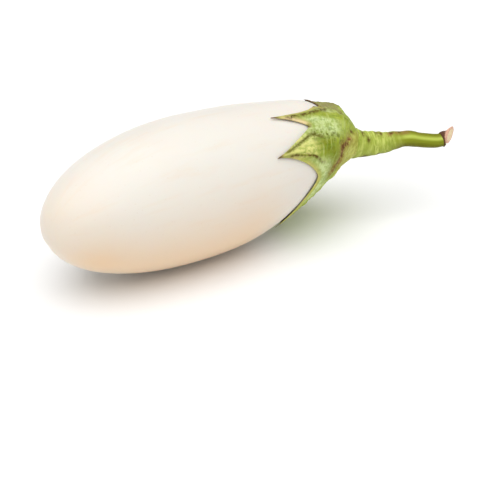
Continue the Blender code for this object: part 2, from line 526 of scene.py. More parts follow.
@dataclass(frozen=True)
class SkinFinish:
    """Glossy white skin: cream with faint clouds, fine pores, and a corky scar low on the blossom end."""

    cream: Colour = tone(235, 231, 222)
    blush: Colour = tone(234, 227, 217)
    butter_and_warm_shade: Colour = tone(236, 205, 168)
    speck: Colour = tone(214, 192, 160)
    cork: Colour = tone(150, 112, 70)
    gloss: float = 0.34
    cork_roughness: float = 0.8

    def make(self) -> bpy.types.Material:
        """Lays out the nodes: clouds, faint streaks, painted warm shade on the low side with a real yellow
        tint at the blossom end, specks, the scar, and low relief.

        Returns:
            The material.
        """
        bench = Bench("white_skin")
        place = bench.place()
        clouds = bench.noise(place, 16.0, 3.0)
        streaks = bench.noise(bench.stretch(bench.mask(Mask.FLOW), (1.0, 1.0, 0.12)), 260.0, 3.0)
        scar = bench.broken(Mask.SCAR, bench.noise(place, 1500.0, 6.0, 0.7), 0.3, 0.55)
        colour = bench.coats(
            self.cream,
            (bench.window(clouds, 0.35, 0.7), self.blush),
            (bench.window(streaks, 0.5, 0.85, 0.0, 0.22), self.butter_and_warm_shade),
            # painted warm shade on the fruit's low front side, plus the real yellow tint of its blossom end
            (bench.mask(Mask.WARM_TINT_AND_PAINTED_SHADE), self.butter_and_warm_shade),
            (bench.window(bench.cells(place, 330.0), 0.06, 0.16, 0.14, 0.0), self.speck),
            (scar, self.cork),
        )
        pores = bench.relief(bench.noise(place, 900.0, 3.0), 0.00004, 0.5)
        return bench.finish(
            colour,
            bench.window(scar, 0.0, 0.6, self.gloss, self.cork_roughness),
            bench.relief(scar, 0.0002, 0.6, pores),
            Subsurface_Weight=0.18,
            Subsurface_Radius=(0.006, 0.003, 0.0016),
            Subsurface_Scale=1.0,
            Specular_IOR_Level=0.22,
        )


@dataclass(frozen=True)
class LeafFinish:
    """Fresh green cap leaf: pale between the lobes, dark rough keels, tan creases and dry brown tips, with
    painted light on a front facet and painted shade in the fold, on the lower keel, at the top lobe's edge
    and on the underside.
    """

    leaf: Colour = tone(176, 190, 76)
    shade: Colour = tone(152, 164, 48)
    pale: Colour = tone(214, 230, 162)
    # colour of the painted light on the front lobe's lit facet
    light: Colour = tone(224, 222, 136)
    deep: Colour = tone(124, 134, 20)
    moss: Colour = tone(140, 162, 54)
    vein: Colour = tone(104, 130, 36)
    crest: Colour = tone(208, 218, 138)
    blot: Colour = tone(112, 122, 46)
    dull: Colour = tone(146, 138, 88)
    rim: Colour = tone(206, 196, 116)
    root: Colour = tone(166, 166, 64)
    root_crest: Colour = tone(198, 200, 96)
    # colour of the painted shade in the fold's crease
    olive: Colour = tone(104, 98, 34)
    bark: Colour = tone(92, 68, 28)
    cream: Colour = tone(238, 216, 162)
    tan: Colour = tone(178, 136, 82)
    flake: Colour = tone(104, 62, 28)
    scar: Colour = tone(98, 58, 22)
    # colour of the painted shade on the cap's underside
    inside: Colour = tone(96, 74, 44)
    dry: Colour = tone(112, 84, 62)

    def make(self) -> bpy.types.Material:
        """Lays out the nodes: each field is broken up by a pattern before its colour is laid on.

        Returns:
            The material.
        """
        bench = Bench("cap_leaf")
        place, flow = bench.place(), bench.mask(Mask.FLOW)
        grain = bench.noise(place, 900.0, 5.0, 0.65)
        clouds = bench.noise(place, 170.0, 4.0, 0.6)
        mottle = bench.noise(place, 520.0, 3.0, 0.6)
        patches = bench.noise(place, 430.0, 3.0, 0.55)
        beads = bench.noise(place, 640.0, 4.0, 0.6)
        streaks = bench.noise(bench.stretch(flow, (1.0, 1.0, 0.16)), 620.0, 4.0, 0.6)
        wrinkles = bench.noise(bench.stretch(flow, (0.28, 0.28, 1.0)), 700.0, 4.0, 0.6)
        root = bench.over(bench.window(wrinkles, 0.4, 0.65), self.root, self.root_crest)
        colour = bench.coats(
            self.leaf,
            (bench.window(clouds, 0.36, 0.66), self.shade),
            (bench.broken(Mask.PALE, streaks, 0.25, 0.55, 0.6), self.pale),
            (bench.broken(Mask.DEEP_GREEN_AND_PAINTED_SHADE, grain, 0.25, 0.6, 0.55), self.deep),
            # painted light on the lit facet of the lower front lobe
            (bench.broken(Mask.PAINTED_LIGHT, streaks, 0.3, 0.6, 1.0, 0.7), self.light),
            (bench.window(mottle, 0.45, 0.62, 0.0, 0.6), self.moss),
            (bench.window(streaks, 0.52, 0.7, 0.0, 0.6), self.vein),
            (bench.window(wrinkles, 0.52, 0.72, 0.0, 0.4), self.crest),
            (bench.broken(Mask.BLOT, patches, 0.46, 0.58), self.blot),
            (bench.broken(Mask.DULL, mottle, 0.3, 0.6, 0.5), self.dull),
            (bench.broken(Mask.RIM, clouds, 0.3, 0.6, 0.3, 0.9), self.rim),
            (bench.mask(Mask.WARM_TINT_AND_PAINTED_SHADE), self.cream),
            # painted shade in the fold's crease
            (bench.broken(Mask.CREASE_SHADE, grain, 0.3, 0.55, 0.35), self.olive),
            # real dark bark on the upper keel and the lobes' middles; painted shadow on the lower keel and
            # the top lobe's folded edge
            (bench.broken(Mask.KEEL, beads, 0.36, 0.6, 0.25), self.bark),
            (bench.mask(Mask.NECK), root),
            (bench.broken(Mask.FOOT, mottle, 0.35, 0.6, 0.25), self.tan),
            (bench.broken(Mask.FOOT, grain, 0.42, 0.56, 0.0, 0.8), self.flake),
            (bench.broken(Mask.SCAR, grain, 0.34, 0.5, 0.3), self.scar),
            # painted shade on the cap's underside, seen where the edges lift
            (bench.mask(Mask.UNDERSIDE_SHADE), self.inside),
            (bench.mask(Mask.TIP), self.dry),
        )
        ribs = bench.relief(streaks, 0.0004, 0.45, bench.relief(grain, 0.00025, 0.5))
        return bench.finish(
            colour,
            bench.window(grain, 0.3, 0.7, 0.42, 0.62),
            bench.relief(wrinkles, 0.0004, 0.4, ribs),
            Subsurface_Weight=0.05,
            Subsurface_Radius=(0.001, 0.002, 0.0004),
            Subsurface_Scale=1.0,
            Specular_IOR_Level=0.12,
        )


@dataclass(frozen=True)
class StemFinish:
    """Green stem: a pale wrinkled neck with brown scars, then a smooth glossy olive shank with painted shade
    below and along its top and a painted highlight band.
    """

    neck: Colour = tone(158, 172, 66)
    pale: Colour = tone(204, 214, 112)
    moss: Colour = tone(134, 152, 46)
    dart: Colour = tone(120, 132, 44)
    shank: Colour = tone(122, 130, 8)
    rib: Colour = tone(152, 160, 44)
    # colour of the painted highlight band on the shank
    light: Colour = tone(192, 206, 92)
    # colour of the painted shade on the shank's underside and along its top
    shade: Colour = tone(92, 84, 4)
    crest: Colour = tone(150, 112, 60)
    bark: Colour = tone(88, 60, 26)
    shank_roughness: float = 0.3
    neck_roughness: float = 0.5

    def make(self) -> bpy.types.Material:
        """Lays out the nodes: the shank with a painted highlight band, the wrinkled neck over it, then
        painted shade, crest and scars.

        Returns:
            The material.
        """
        bench = Bench("stem_green")
        place, flow, neck = bench.place(), bench.mask(Mask.FLOW), bench.mask(Mask.NECK)
        grain = bench.noise(place, 1100.0, 5.0, 0.65)
        clouds = bench.noise(place, 240.0, 4.0, 0.6)
        ribs = bench.noise(bench.stretch(flow, (1.0, 1.0, 0.08)), 900.0, 4.0, 0.6)
        wrinkles = bench.noise(bench.stretch(flow, (0.22, 0.22, 1.0)), 650.0, 4.0, 0.6)
        darts = bench.noise(bench.stretch(flow, (0.3, 0.3, 1.0)), 1100.0, 3.0, 0.5)
        wrinkled = bench.coats(
            self.neck,
            (bench.window(wrinkles, 0.4, 0.66, 0.1, 0.9), self.pale),
            (bench.window(clouds, 0.46, 0.7, 0.0, 0.75), self.moss),
            (bench.window(darts, 0.58, 0.7, 0.0, 0.6), self.dart),
        )
        colour = bench.coats(
            self.shank,
            (bench.window(ribs, 0.35, 0.7, 0.0, 0.6), self.rib),
            # painted highlight band along the upper side of the shank
            (bench.mask(Mask.PAINTED_LIGHT), self.light),
            (neck, wrinkled),
            # painted shade: a darker underside and a dark line along the top of the shank
            (bench.broken(Mask.DEEP_GREEN_AND_PAINTED_SHADE, grain, 0.25, 0.6, 0.6), self.shade),
            (bench.broken(Mask.KEEL, clouds, 0.4, 0.6, 0.1), self.crest),
            (bench.broken(Mask.SCAR, grain, 0.34, 0.5, 0.3), self.bark),
        )
        fine = bench.relief(grain, 0.0002, 0.35)
        return bench.finish(
            colour,
            bench.window(neck, 0.0, 1.0, self.shank_roughness, self.neck_roughness),
            bench.relief(bench.times(wrinkles, neck), 0.0005, 0.5, fine),
            Subsurface_Weight=0.03,
            Subsurface_Radius=(0.001, 0.002, 0.0004),
            Subsurface_Scale=1.0,
            Specular_IOR_Level=0.1,
        )


@dataclass(frozen=True)
class CutFinish:
    """The stem's cut end: a dark dry collar, a pinkish rind, and a pale pith with fibres."""

    rind: Colour = tone(232, 186, 160)
    husk: Colour = tone(206, 148, 120)
    pith: Colour = tone(242, 222, 178)
    collar: Colour = tone(92, 58, 36)
    roughness: float = 0.7

    def make(self) -> bpy.types.Material:
        """Lays out the nodes: the rind, the pith over it on the face, and the collar.

        Returns:
            The material.
        """
        bench = Bench("stem_cut")
        place = bench.place()
        grain = bench.noise(place, 1500.0, 5.0, 0.6)
        fibres = bench.window(bench.cells(place, 2400.0), 0.2, 0.5, 0.5, 0.0)
        colour = bench.coats(
            self.rind,
            (bench.window(grain, 0.4, 0.65, 0.0, 0.6), self.husk),
            (bench.window(bench.mask(Mask.FACE), 0.25, 0.6), bench.over(fibres, self.pith, self.rind)),
            (bench.broken(Mask.SCAR, grain, 0.2, 0.45, 0.5), self.collar),
        )
        return bench.finish(colour, self.roughness, bench.relief(grain, 0.0003, 0.6), Specular_IOR_Level=0.3)


@dataclass(frozen=True)
class FloorFinish:
    """A plain, pale, matt floor with the faintest unevenness."""

    white: Colour = (0.96, 0.96, 0.96, 1.0)
    grey: Colour = (0.95, 0.95, 0.95, 1.0)
    roughness: float = 0.9

    def make(self) -> bpy.types.Material:
        """Lays out the nodes.

        Returns:
            The material.
        """
        bench = Bench("pale_floor")
        clouds = bench.noise(bench.place(), 3.0, 2.0)
        colour = bench.over(clouds, self.white, self.grey)
        return bench.finish(colour, self.roughness, bench.relief(clouds, 0.0001, 0.1), Specular_IOR_Level=0.1)


@dataclass
class FruitForm:
    """The formula of the fruit's skin, and its place in the row frame."""

    length: float = 0.165
    diameter: float = 0.070
    stem_end: float = 1.03
    blossom_end: float = 0.95
    belly_bias: float = 0.036
    bend_side: float = math.radians(13.7)
    bend_up: float = math.radians(4.1)
    stem_slant: float = 0.65
    waves: tuple[tuple[int, float, float], ...] = ((2, 0.012, 0.5), (3, 0.008, 1.9), (5, 0.003, 0.4))
    shoulder_rise: float = 0.085
    shoulder_place: float = 0.058
    shoulder_spread: float = 0.014
    shoulder_turn: float = math.radians(105)
    shoulder_sharpness: float = 3.0
    hollow: Pair = (0.036, 0.006)
    hollow_depth: float = 0.0009
    flow_radius: float = 0.025
    place: np.ndarray = field(default_factory=lambda: np.zeros(3))

    def __post_init__(self) -> None:
        """Measures the outline, and brings the formula's box onto the CAD fruit's."""
        self.angles = np.pi * (1.0 - np.cos(np.linspace(0.0, np.pi, 2001))) / 2.0
        along, radius = self.outline(self.angles)
        steps = np.hypot(np.diff(along), np.diff(radius))
        self.distances = np.concatenate([[0.0], np.cumsum(steps)])
        self.side = float(self.distances[-1])
        distance, turn = np.meshgrid(np.linspace(0.0, self.side, 241), np.linspace(0.0, math.tau, 361))
        points = self.skin(distance, turn).reshape(-1, 3)
        low, high = (np.array(corner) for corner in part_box("fruit"))
        middle = (points.min(0) + points.max(0)) / 2.0
        shift = (low + high) / 2.0 - middle
        shift[2] = high[2] - points[:, 2].max()
        self.place = shift
        spare = (points.max(0) - points.min(0)) - (high - low)
        log.info("skin formula against the CAD box, mm over: %s", np.round(spare / MM, 2))

    def outline(self, angle: np.ndarray) -> tuple[np.ndarray, np.ndarray]:
        """The straight fruit's profile: half the length times cos a, and half the diameter times
        (1 - bias cos a) times sin a raised to a power that goes from the stem end's to the blossom end's.

        Args:
            angle: 0 at the stem pole to pi at the other.

        Returns:
            The place along the axis and the radius.
        """
        along = np.cos(angle)
        power = self.stem_end + (self.blossom_end - self.stem_end) * (1.0 - along) / 2.0
        radius = (1.0 - self.belly_bias * along) * np.abs(np.sin(angle)) ** power
        return self.length / 2.0 * along, self.diameter / 2.0 * radius

    def skin(self, distance: np.ndarray, turn: np.ndarray) -> np.ndarray:
        """Points of the skin: the profile turned round the axis with low waves and a shoulder, which is a
        bell along the axis times e to s(cos of the turn from its middle, less 1), with a hollow of the
        same turn under the leaf. The stem end is slanted in proportion to height, and the whole is then
        bent along an arc to the front and upwards.

        Args:
            distance: Metres down the side from the stem pole.
            turn: Radians round the axis, from the front towards the top.

        Returns:
            The points, with x, y, z on the last axis.
        """
        angle = np.interp(distance, self.distances, self.angles)
        along, radius = self.outline(angle)
        for waves, share, start in self.waves:
            radius = radius * (1.0 + share * np.cos(waves * turn + start) * np.sin(angle))
        shoulder = swell(along, self.shoulder_place, self.shoulder_spread)
        facing = np.exp(self.shoulder_sharpness * (np.cos(turn - self.shoulder_turn) - 1.0))
        radius = radius * (1.0 + self.shoulder_rise * shoulder * facing)
        radius = radius - self.hollow_depth * swell(distance, *self.hollow) * facing
        front, height = radius * np.cos(turn), radius * np.sin(turn)
        along = along + self.stem_slant * height * smooth_step(0.0, self.length / 2.0, along)
        bend = math.hypot(self.bend_side, self.bend_up)
        to_front, to_top = self.bend_side / bend, self.bend_up / bend
        bend_radius = self.length / 2.0 / bend
        inner = front * to_front + height * to_top
        level = height * to_front - front * to_top
        bearing = along / bend_radius
        x = (bend_radius - inner) * np.sin(bearing)
        inner = bend_radius - (bend_radius - inner) * np.cos(bearing)
        front, height = inner * to_front - level * to_top, inner * to_top + level * to_front
        return np.stack(np.broadcast_arrays(x, -front, height), axis=-1) + self.place

    def outward(self, distance: np.ndarray, turn: np.ndarray) -> np.ndarray:
        """Unit vectors out of the skin: the cross product of its steps round and down.

        Args:
            distance: Metres down the side.
            turn: Radians round the axis.

        Returns:
            The vectors, with x, y, z on the last axis.
        """
        reach, swing = 0.0005, 0.02
        down = self.skin(distance + reach, turn) - self.skin(distance - reach, turn)
        around = self.skin(distance, turn + swing) - self.skin(distance, turn - swing)
        return unit(np.cross(around, down))

    def stem_pole(self) -> tuple[np.ndarray, np.ndarray]:
        """The skin's point at the stem pole, and the unit vector out of it from a small ring round it."""
        ring = self.skin(0.001, np.radians([0.0, 120.0, 240.0]))
        outward = unit(np.cross(ring[1] - ring[0], ring[2] - ring[0]))
        return self.skin(0.0, 0.0), outward * math.copysign(1.0, outward[0])

    def flow(self, distance: np.ndarray, turn: np.ndarray) -> np.ndarray:
        """Coordinates that follow the surface: a circle of fixed radius round, and the distance down."""
        return wrapped_place(self.flow_radius, distance, turn)


@dataclass
class Fruit:
    """The body of the eggplant. The dimple and its nub have a height and a width, in metres."""

    form: FruitForm
    finish: SkinFinish = SkinFinish()
    rings: int = 300
    columns: int = 300
    swell_height: float = 0.00022
    rib_height: float = 0.00006
    dimple: Pair = (0.0010, 0.0040)
    nub: Pair = (0.0007, 0.0013)
    scar_radius: float = 0.0026
    scar_gap: float = 0.0150
    scar_turn: float = math.radians(238)
    shade_turn: float = math.radians(-38)
    shade_width: float = 0.75

    def make(self) -> bpy.types.Object:
        """The skin on a grid of distance and turn, with low lumps and ribs along its outward vectors,
        a dimple with a small nub low on the blossom end, and a flat spot where it stands on the floor.

        Returns:
            The fruit.
        """
        distance = np.linspace(0.0, self.form.side, self.rings + 2)[1:-1, None]
        turn = np.linspace(0.0, math.tau, self.columns, endpoint=False)[None, :]
        distance, turn = np.broadcast_arrays(distance, turn)
        skin, lift = self.form.skin(distance, turn), self.form.outward(distance, turn)
        left = self.form.side - distance
        fade = smooth_step(0.0, 0.02, left)
        spot = self.form.skin(self.form.side - self.scar_gap, self.scar_turn)
        away = np.linalg.norm(skin - spot, axis=-1)
        spin = np.arctan2(skin[..., 2] - spot[2], skin[..., 1] - spot[1])
        height = self.swell_height * lumps(skin, 0.045, 3) * fade
        height = height + self.rib_height * np.sin(9.0 * turn + 3.0 * lumps(skin, 0.06, 5)) * fade
        pucker = 1.0 + 0.25 * np.cos(5.0 * spin + 1.0) * smooth_step(0.0, 0.003, away)
        height = height - self.dimple[0] * swell(away, 0.0, self.dimple[1]) * pucker
        height = height + self.nub[0] * swell(away, 0.0, self.nub[1])
        points = skin + lift * height[..., None]
        points[..., 2] = np.maximum(points[..., 2], 0.0)
        ends = self.form.skin(0.0, 0.0), points[-1].mean(0)
        wavy = away * (1.0 + 0.2 * np.cos(3.0 * spin))
        scar = 1.0 - smooth_step(self.scar_radius * 0.5, self.scar_radius, wavy)
        # painted warm shade: the low front side is tinted butter, standing in for shade and warm bounce light
        low_side = swell(turn_apart(turn, self.shade_turn), 0.0, self.shade_width)
        warm = 0.85 * low_side * smooth_step(0.045, 0.085, distance) * smooth_step(0.0, 0.03, left)
        warm = warm + 0.30 * smooth_step(0.045, 0.0, left)
        masks = {Mask.FLOW: self.form.flow(distance, turn), Mask.SCAR: scar, Mask.WARM_TINT_AND_PAINTED_SHADE: warm}
        return closed_piece("eggplant_skin", points, ends, masks, self.finish.make())


@dataclass(frozen=True)
class Lobe:
    """One lobe of the cap: its tip, its sides, and the notch after it, in degrees and millimetres.

    A tooth is a small spike on the side after the tip, at that share of the side. The flesh is the share
    of the cap's thickness that the lobe keeps towards its tip.
    """

    tip_turn: float
    tip: float
    slender_before: float
    slender_after: float
    notch_turn: float
    notch: float
    keel: float = 1.0
    curl: float = 0.6
    tooth: float = 0.0
    flesh: float = 1.0


@dataclass(frozen=True)
class Keel:
    """A raised crest on the cap, along a few places from a lobe's tip inwards, and its dark mark: rough bark
    on the upper keel, and a painted shadow line on the lower keel.

    The crest has a height, and a steep and a broad fall beside it. The mark has a width, and shows
    between two shares of the line.
    """

    places: tuple[Pair, ...]
    height: float
    steep: float
    broad: float
    mark_width: float
    mark_start: float
    mark_end: float


@dataclass(frozen=True)
class Sheet:
    """One sheet of the cap, on a grid of rows from the crown to the margin and columns round it.

    The share goes to 1 at the margin. The distance and the turn are places on the skin. The columns are
    the values that Calyx.columns gives.
    """

    share: np.ndarray
    distance: np.ndarray
    turn: np.ndarray
    columns: dict[str, np.ndarray]

    @property
    def degrees(self) -> np.ndarray:
        """The turns in degrees, from 0 to 360."""
        return np.degrees(self.turn) % 360.0


@dataclass
class Calyx:
    """The leafy cap with seven lobes.

    Keels and lines are given by distances in millimetres and turns in degrees. The stem's foot is given
    by turns and reaches, and the brown spots by distance, turn and size.
    """

    form: FruitForm
    finish: LeafFinish = LeafFinish()
    lobes: tuple[Lobe, ...] = (
        Lobe(34, 67.4, 1.85, 1.36, 57, 47.8, 1.0, 0.3),
        Lobe(70.5, 64.3, 1.5, 2.3, 82, 37.2, 0.9, 0.4, 0.78),
        Lobe(102.5, 41.8, 1.5, 1.5, 128, 36.0, 0.6, 0.0, 0.0, 0.35),
        Lobe(154, 62.0, 1.6, 1.3, 182, 41.0),
        Lobe(208, 58.0, 1.4, 1.7, 236, 38.0),
        Lobe(262, 60.0, 1.5, 1.4, 290, 37.0),
        Lobe(318, 57.0, 1.5, 1.3, 362, 39.0),
    )
    lobe_columns: int = 50
    outer_rows: int = 96
    inner_rows: int = 26
    inner_crowd: float = 1.3
    rim_rows: int = 5
    sinus_rounding: float = 0.10
    tooth_turn: float = 4.5
    tooth_lift: float = 0.9
    gap: float = 0.0003
    flesh: float = 0.0021
    margin: float = 0.0008
    tip_flesh: float = 0.0005
    low_thinning: float = 0.75
    low_turn: float = math.radians(-35)
    low_width: float = 0.9
    ridge_height: float = 0.0022
    front_ridge: float = 0.35
    fold_depth: float = 0.0006
    rim_swell: float = 0.00035
    crown_height: float = 0.0036
    crown_shift: float = 0.0040
    crown_rim: float = 0.0080
    crown_spread: float = 0.010
    neck_radius: float = 0.0066
    flare_height: float = 0.0034
    flare_fall: float = 0.0026
    top_flare_loss: float = 0.85
    foot_step: float = 0.0006
    lower_keel: Keel = Keel(
        ((67, 34), (59, 32.8), (50, 30), (46.7, 27.7), (43, 23), (38, 19), (30, 12)),
        height=0.0019, steep=0.0022, broad=0.0075, mark_width=0.0008, mark_start=0.06, mark_end=0.85,
    )
    upper_keel: Keel = Keel(
        ((64, 70.5), (60, 69), (55, 68), (50, 68.3), (46, 70), (42, 72.5), (38, 76.5), (33, 82)),
        height=0.0013, steep=0.0020, broad=0.0055, mark_width=0.0012, mark_start=0.16, mark_end=1.0,
    )
    fold: tuple[Pair, ...] = (
        (65, 35), (61.5, 36.8), (57, 39.8), (50.5, 45.8), (47, 48.5), (42.3, 45), (39, 40.7),
    )
    blot_line: tuple[Pair, ...] = ((46.5, 50), (44.5, 47), (41, 47), (37, 46), (33, 44), (29, 41))
    foot_line: tuple[Pair, ...] = (
        (19.5, 43), (22.3, 37), (25.3, 32.5), (26.2, 29), (25, 22.5), (24.5, 14.5), (27, 8), (29, 2),
    )
    dark_line: tuple[Pair, ...] = ((43, 40), (38, 36), (34, 28), (30, 18), (28, 6))
    foot_reach: tuple[Pair, ...] = (
        (-120, 13), (-60, 15), (-30, 19), (0, 24), (20, 24.5), (31, 24), (42, 20), (60, 17), (80, 13),
        (240, 13),
    )
    spots: tuple[tuple[float, float, float], ...] = (
        (24.7, 81.0, 1.3), (18.3, 55.6, 1.0), (47.9, 57.2, 0.9), (25.6, 31.5, 1.7), (24.5, 21.0, 1.0),
        (22.0, 35.0, 0.7), (27.0, 76.0, 0.8), (24.2, 34.5, 1.0), (25.6, 12.0, 0.9),
    )

    def line(self, places: tuple[Pair, ...], count: int = 160) -> np.ndarray:
        """A smooth line on the skin through a few places.

        Args:
            places: Distances in millimetres and turns in degrees.
            count: How many points it is given as.

        Returns:
            Its points.
        """
        curve = smooth_line(np.array(places, float), count)
        return self.form.skin(curve[:, 0] * MM, np.radians(curve[:, 1]))

    def columns(self) -> dict[str, np.ndarray]:
        """The columns of the grid, a lobe at a time from the notch before it to the notch after it.

        Across a side, v goes from 0 at the tip to 1 at the notch. The turn goes with v to the power of
        the side's slenderness, and the reach with 1 - (sqrt((1-v)^2 + e^2) - e), which rounds the notch.

        Returns:
            Values by name: the turns at the crown and at the margin, the reach, the nearness to the lobe's
            middle, the tooth, and the lobe's own keel, flesh, curl, tip and turn.
        """
        across = 2.0 * np.arange(self.lobe_columns) / self.lobe_columns - 1.0
        share, rising = np.abs(across), across < 0.0
        soft = self.sinus_rounding
        level = math.hypot(1.0, soft) - soft
        depth = 1.0 - (np.hypot(1.0 - share, soft) - soft) / level
        found: dict[str, list[np.ndarray]] = {}
        for index, lobe in enumerate(self.lobes):
            before = self.lobes[index - 1]
            before_turn = before.notch_turn - (360.0 if index == 0 else 0.0)
            sweep = np.where(rising, before_turn, lobe.notch_turn) - lobe.tip_turn
            notch = np.where(rising, before.notch, lobe.notch)
            slender = np.where(rising, lobe.slender_before, lobe.slender_after)
            past = share - lobe.tooth
            spike = np.exp(-np.maximum(past / 0.045, -past / 0.10) ** 1.2)
            tooth = np.where(rising, 0.0, spike) * (lobe.tooth > 0.0)
            row = {
                "crown_turn": lobe.tip_turn + sweep * share,
                "margin_turn": lobe.tip_turn + sweep * share**slender + self.tooth_turn * tooth,
                "reach": (lobe.tip + (notch - lobe.tip) * depth) * MM,
                "nearness": 1.0 - share,
                "tooth": tooth,
                "keel": lobe.keel,
                "flesh": lobe.flesh,
                "curl": lobe.curl + self.tooth_lift * tooth,
                "tip": lobe.tip * MM,
                "lobe_turn": lobe.tip_turn,
            }
            for name, values in row.items():
                found.setdefault(name, []).append(np.broadcast_to(values, share.shape))
        return {name: np.concatenate(values) for name, values in found.items()}

    def crown(self) -> tuple[np.ndarray, np.ndarray]:
        """The middle of the crown's plane and the unit vector out of it, a little above the stem pole."""
        pole, outward = self.form.stem_pole()
        upwards = unit(np.array([0.0, 0.0, 1.0]) - outward * outward[2])
        return pole + outward * self.crown_height + upwards * self.crown_shift, outward

    def settled(self, sheet: Sheet, height: np.ndarray) -> np.ndarray:
        """Outer points: the skin raised by a height and by the foot's step, eased onto the crown's plane
        near its middle, and flared up round the neck except at the top.

        Args:
            sheet: The sheet.
            height: Metres above the skin.

        Returns:
            The points.
        """
        distance, turn = sheet.distance, sheet.turn
        middle, outward = self.crown()
        skin, lift = self.form.skin(distance, turn), self.form.outward(distance, turn)
        foot = self.foot_distance(turn)
        raised = height + self.foot_step * (1.0 - smooth_step(foot - 0.0016, foot + 0.0004, distance))
        rounded = skin + lift * raised[..., None]
        flat = skin + outward * ((middle - skin) @ outward)[..., None]
        away = np.linalg.norm(rounded - middle, axis=-1)
        slope = smooth_step(self.crown_rim, self.crown_rim + self.crown_spread, away)[..., None]
        points = flat * (1.0 - slope) + rounded * slope
        across = points - middle
        across = np.linalg.norm(across - outward * (across @ outward)[..., None], axis=-1)
        flare = self.flare_height * np.exp(-np.maximum(across - self.neck_radius, 0.0) / self.flare_fall)
        flare = flare * (1.0 - self.top_flare_loss * smooth_step(0.1, 0.8, np.sin(turn)))
        return points + outward * flare[..., None]

    def foot_distance(self, turn: np.ndarray) -> np.ndarray:
        """How far down the skin the stem's foot reaches, from its few set places, eased between them.

        Args:
            turn: Radians round the axis.

        Returns:
            The distances in metres.
        """
        spins, reaches = np.array(self.foot_reach, float).T
        fine = np.arange(-180.0, 180.0, 1.0)
        rough = np.interp(fine, spins, reaches, period=360.0)
        half = 12
        weights = np.exp(-((np.arange(-half, half + 1) / 6.0) ** 2))
        wrapped = np.concatenate([rough[-half:], rough, rough[:half]])
        eased = np.convolve(wrapped, weights / weights.sum(), "valid")
        return np.interp(np.degrees(turn), fine, eased, period=360.0) * MM

    def grid(self, rows: int, crowd: float) -> Sheet:
        """A sheet between the crown and the margin.

        A row's share s goes to 1 at the margin. Its distance is s times the column's reach, and its turn
        eases from the crown's even spacing to the margin's over the shares from 0.35 to 1.

        Args:
            rows: How many rows.
            crowd: The power that crowds the rows towards the crown.

        Returns:
            The sheet.
        """
        columns = self.columns()
        share = (np.arange(1, rows + 1) / rows)[:, None] ** crowd
        crown_turn, margin_turn = np.radians(columns["crown_turn"]), np.radians(columns["margin_turn"])
        turn = crown_turn + (margin_turn - crown_turn) * smooth_step(0.35, 1.0, share)
        distance = share * columns["reach"]
        return Sheet(np.broadcast_to(share, distance.shape), distance, turn, columns)

    def fields(self, sheet: Sheet) -> dict[str, np.ndarray]:
        """Measures how far each point of a sheet is from the margin, the keels and the lines.

        Args:
            sheet: The sheet.

        Returns:
            Grids of distances in metres by name, and the places along each line as shares.
        """
        skin = self.form.skin(sheet.distance, sheet.turn)
        edge = skin[-1]
        step = np.roll(edge, -1, axis=0) - edge
        dense = np.concatenate([edge + step * part for part in (0.0, 0.33, 0.67)])
        found = {"margin": nearest(skin, dense)[0]}
        lines = {
            "lower_keel": self.lower_keel.places,
            "upper_keel": self.upper_keel.places,
            "fold": self.fold,
            "foot": self.foot_line,
            "dark": self.dark_line,
            "blot": self.blot_line,
        }
        for name, places in lines.items():
            found[name], found[name + "_along"] = nearest(skin, self.line(places))
        return found

    def relief(self, sheet: Sheet, near: dict[str, np.ndarray]) -> np.ndarray:
        """Heights of the outer sheet above the skin.

        The flesh thins towards the margin and round the low side. Each lobe has a ridge along its middle.
        The two lobes in front have keels with a steep and a broad fall, and a groove along the fold. A
        swollen rim, lumps, veins and wrinkles are laid on that.

        Args:
            sheet: The outer sheet.
            near: Its grids from fields.

        Returns:
            The heights in metres.
        """
        distance, turn, share, columns = sheet.distance, sheet.turn, sheet.share, sheet.columns
        skin, flow = self.form.skin(distance, turn), self.form.flow(distance, turn)
        inside = near["margin"]
        soft = smooth_step(0.0, 0.004, inside)
        thin = 1.0 - (1.0 - columns["flesh"]) * smooth_step(0.5, 0.85, share)
        low_side = swell(turn_apart(turn, self.low_turn), 0.0, self.low_width)
        thin = thin * (1.0 - self.low_thinning * low_side)
        flesh = self.margin + (self.flesh - self.margin) * smooth_step(0.0, 0.011, inside)
        flesh = flesh - (self.margin - self.tip_flesh) * smooth_step(0.010, 0.0, columns["tip"] - distance)
        height = self.gap + thin * flesh
        front = (columns["lobe_turn"] > 20.0) & (columns["lobe_turn"] < 80.0)
        ridge = self.ridge_height * columns["keel"] * columns["nearness"] ** 1.5
        ridge = ridge * (1.0 - smooth_step(0.4, 0.95, share)) * smooth_step(0.1, 0.35, share) * soft
        height = height + np.where(front, self.front_ridge, 1.0) * ridge * thin
        for name, keel in (("lower_keel", self.lower_keel), ("upper_keel", self.upper_keel)):
            away, along = near[name], near[name + "_along"]
            live = between(along, 0.0, 0.10, 0.75, 1.0)
            crest = 0.55 * np.exp(-away / keel.steep) + 0.45 * swell(away, 0.0, keel.broad)
            height = height + keel.height * crest * live * smooth_step(0.0, 0.0025, inside)
        live = between(near["fold_along"], 0.0, 0.2, 0.7, 1.0)
        height = height - self.fold_depth * swell(near["fold"], 0.0, 0.0009) * live
        height = height + self.rim_swell * swell(inside, 0.0012, 0.0009) * (1.0 - columns["nearness"] * 0.6)
        height = height + 0.00022 * lumps(skin, 0.0075, 11) * soft
        height = height + 0.00016 * lumps(flow * np.array([1.0, 1.0, 0.14]), 0.0032, 17) * soft
        wrinkles = lumps(flow * np.array([0.35, 0.35, 1.0]), 0.0024, 23)
        return height + 0.00022 * wrinkles * soft * smooth_step(0.2, 0.4, share)

